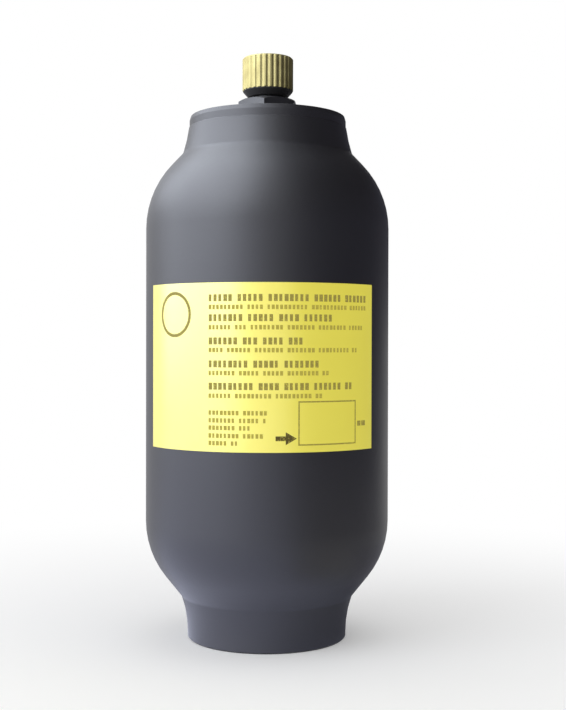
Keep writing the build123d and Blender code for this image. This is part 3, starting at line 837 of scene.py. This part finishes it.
arrow_print = bmesh.new()
block(arrow_print, arrow_left, arrow_neck, arrow_z - arrow_half_width, arrow_z + arrow_half_width,
      ink_front, ink_back)
tip = polygon(arrow_print, arrow_head_x, arrow_z, arrow_head_r, sides=3, turn=-90)
raised(arrow_print, [tip[0].link_faces[0]])
arrow_mark = wrapped("label_arrow_print", arrow_print)
arrow_mark.data.materials.append(ink("umber_ink", "#564b1e"))
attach(arrow_mark, "accumulator")

light_print = bmesh.new()
printed_rows(light_print, [
    (154.0, 50.1), (145.3, 46.9), (135.5, 43.2), (125.6, 28.0), (115.8, 25.3),
    (108.5, 2.3), (105.2, 0.9), (102.0, -7.6), (98.6, -0.6), (95.4, -12.8),
], height=1.9, pitch=1.8)
light_marks = wrapped("label_light_print", light_print)
light_marks.data.materials.append(ink("light_ochre_ink", "#b2a442"))
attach(light_marks, "accumulator")

# ------------------------------------------------------------------ floor, lights and camera
# White paper under the part and white all round it, with a small softbox. Only reflections see
# the screens round it: lit diffusers on the left and above, dark flags on the right, and round
# the foot paper that glows with painted light, bright on the left, and a grey sheet of painted
# shadow behind.
# Sizes are in metres here, and turns in degrees.
floor_half = 4.0
screen_r = 0.9
low_flag_top = 0.16
high_flag_top = 0.55
low_diffuser_top = 0.5
high_diffuser_top = 0.95
near_paper_r = 0.07
paper_z = 0.0002
flag_start = 20
diffuser_white = "#eef4ff"
# The way and the strength of the painted light that the paper round the foot glows with.
brightest_way = (-0.906, -0.423, 0)
brightest = 4.1


def seen_directly(tree):
    """1 for a ray from the camera, a mirror or glass, and 0 for one that lights a surface."""
    rays = node(tree, "ShaderNodeLightPath")
    mirrored = node(tree, "ShaderNodeMath", {
        0: rays.outputs["Is Glossy Ray"], 1: rays.outputs["Is Transmission Ray"],
    }, operation="ADD")
    shown = node(tree, "ShaderNodeMath", {
        0: rays.outputs["Is Camera Ray"], 1: mirrored.outputs["Value"],
    }, operation="ADD", use_clamp=True)
    return shown.outputs["Value"]


floor_shape = bmesh.new()
bmesh.ops.create_grid(floor_shape, x_segments=1, y_segments=1, size=floor_half)
floor = finished("floor", floor_shape)

# Matt white paper, which takes the part's soft shadow and goes over into plain white.
paper, tree, shader = new_finish("white_paper", Roughness=1.0, Specular_IOR_Level=0.0)
shader.inputs["Base Color"].default_value = linear("#f2f2f2")
shader.inputs["Emission Color"].default_value = (1, 1, 1, 1)
lift = node(tree, "ShaderNodeMapRange", {"Value": seen_directly(tree), "To Max": 0.14})
tree.links.new(lift.outputs["Result"], shader.inputs["Emission Strength"])
place = node(tree, "ShaderNodeTexCoord").outputs["Object"]
reach = node(tree, "ShaderNodeVectorMath", {0: place}, operation="LENGTH")
fade = node(tree, "ShaderNodeMapRange", {
    "Value": reach.outputs["Value"], "From Min": 0.1, "From Max": 0.4,
}, interpolation_type="SMOOTHSTEP")
white = node(tree, "ShaderNodeEmission")
blend = node(tree, "ShaderNodeMixShader", {
    0: fade.outputs["Result"], 1: shader.outputs["BSDF"], 2: white.outputs["Emission"],
})
tree.links.new(blend.outputs["Shader"], tree.nodes["Material Output"].inputs["Surface"])
floor.data.materials.append(paper)


def screen(name, outline, start, sweep, code, strength=0.0):
    """A curved screen round the part. Its outline is given as (radius, height) in metres, its
    angles in degrees to the right of the front."""
    shape = bmesh.new()
    corners = [shape.verts.new((r, 0, z)) for r, z in outline]
    edges = [shape.edges.new(pair) for pair in zip(corners, corners[1:])]
    bmesh.ops.rotate(
        shape, verts=corners, cent=(0, 0, 0),
        matrix=Matrix.Rotation(math.radians(start - 90), 3, "Z"),
    )
    bmesh.ops.spin(
        shape, geom=corners + edges, cent=(0, 0, 0), axis=(0, 0, 1),
        angle=math.radians(sweep), steps=24,
    )
    cloth, tree, shader = new_finish(name + "_cloth", Roughness=1.0)
    shader.inputs["Base Color"].default_value = linear(code)
    shader.inputs["Emission Color"].default_value = linear(code)
    shader.inputs["Emission Strength"].default_value = strength
    made = finished(name, shape)
    made.data.materials.append(cloth)
    made.visible_camera = False
    made.visible_diffuse = False
    made.visible_transmission = False
    made.visible_shadow = False
    return tree, shader


screen("low_flag", [
    (0.38, 0.001), (screen_r, 0.001), (screen_r, low_flag_top),
], flag_start, sweep=107, code="#66667e")
screen("high_flag", [
    (screen_r, low_flag_top), (screen_r, high_flag_top),
], flag_start, sweep=142, code="#5c5c6c")
screen("top_flag", [
    (screen_r, high_flag_top), (screen_r, 1.4), (0.2, 1.8),
], flag_start, sweep=142, code="#1c1410")
# Painted shadow: a grey sheet on the paper right of and behind the foot stands for the part's own
# shadow there, seen only in reflections.
screen("painted_shadow_paper", [
    (near_paper_r, 2 * paper_z), (0.2, 2 * paper_z),
], start=75, sweep=145, code="#c8c8d6")
screen("low_diffuser", [
    (screen_r, 0.12), (screen_r, low_diffuser_top),
], start=-108, sweep=82, code=diffuser_white, strength=4.9)
screen("high_diffuser", [
    (screen_r, low_diffuser_top), (screen_r, high_diffuser_top),
], start=-130, sweep=116, code=diffuser_white, strength=6.6)
screen("roof_diffuser", [
    (screen_r, high_diffuser_top), (0.15, 1.25),
], start=-140, sweep=124, code=diffuser_white, strength=7.3)

# Round the foot the paper glows with painted light, as the lamp would light it: brightest at the
# left front, fading to none opposite.
for name, near, far, start, sweep in (
    ("near_paper_painted_light", (foot_r + 0.1) * MM, near_paper_r, -180, 360),
    ("far_paper_painted_light", near_paper_r, 0.88, -112, 132),
):
    tree, shader = screen(name, [(near, paper_z), (far, paper_z)], start, sweep, "#a8acbf")
    place = node(tree, "ShaderNodeTexCoord").outputs["Object"]
    ahead = node(tree, "ShaderNodeVectorMath", {0: place}, operation="NORMALIZE")
    leftward = node(tree, "ShaderNodeVectorMath", {
        0: ahead.outputs["Vector"], 1: brightest_way,
    }, operation="DOT_PRODUCT")
    fall = node(tree, "ShaderNodeMapRange", {
        "Value": leftward.outputs["Value"], "From Min": -1.0, "To Min": 0.0, "To Max": brightest,
    })
    tree.links.new(fall.outputs["Result"], shader.inputs["Emission Strength"])

lamp = bpy.data.lights.new("softbox", "AREA")
lamp.shape = "RECTANGLE"
lamp.size = 0.65
lamp.size_y = 0.75
lamp.energy = 2.0
lamp.color = (0.95, 0.98, 1.04)
softbox = bpy.data.objects.new("softbox", lamp)
bpy.context.scene.collection.objects.link(softbox)
softbox.location = (-0.68, -0.46, 0.55)
lit_middle = Vector((0, 0, 0.14))
toward = lit_middle - softbox.location
softbox.rotation_euler = toward.to_track_quat("-Z", "Y").to_euler()

world = bpy.data.worlds.new("studio")
bpy.context.scene.world = world
world.use_nodes = True
tree = world.node_tree
level = node(tree, "ShaderNodeMapRange", {
    "Value": seen_directly(tree), "To Min": 0.8, "To Max": 1.0,
})
sky = tree.nodes["Background"]
sky.inputs["Color"].default_value = (1, 1, 1, 1)
tree.links.new(level.outputs["Result"], sky.inputs["Strength"])

camera_roll = math.radians(0.12)
camera_data = bpy.data.cameras.new("camera")
camera_data.lens = 61.35
camera = bpy.data.objects.new("camera", camera_data)
bpy.context.scene.collection.objects.link(camera)
camera.location = Vector((0, -574, 137.9)) * MM
aim = Vector((7.45, 0, 132.95)) * MM
camera.rotation_euler = (aim - camera.location).to_track_quat("-Z", "Y").to_euler()
camera.rotation_euler.rotate_axis("Z", camera_roll)
bpy.context.scene.camera = camera
bpy.context.scene.view_settings.view_transform = "Standard"
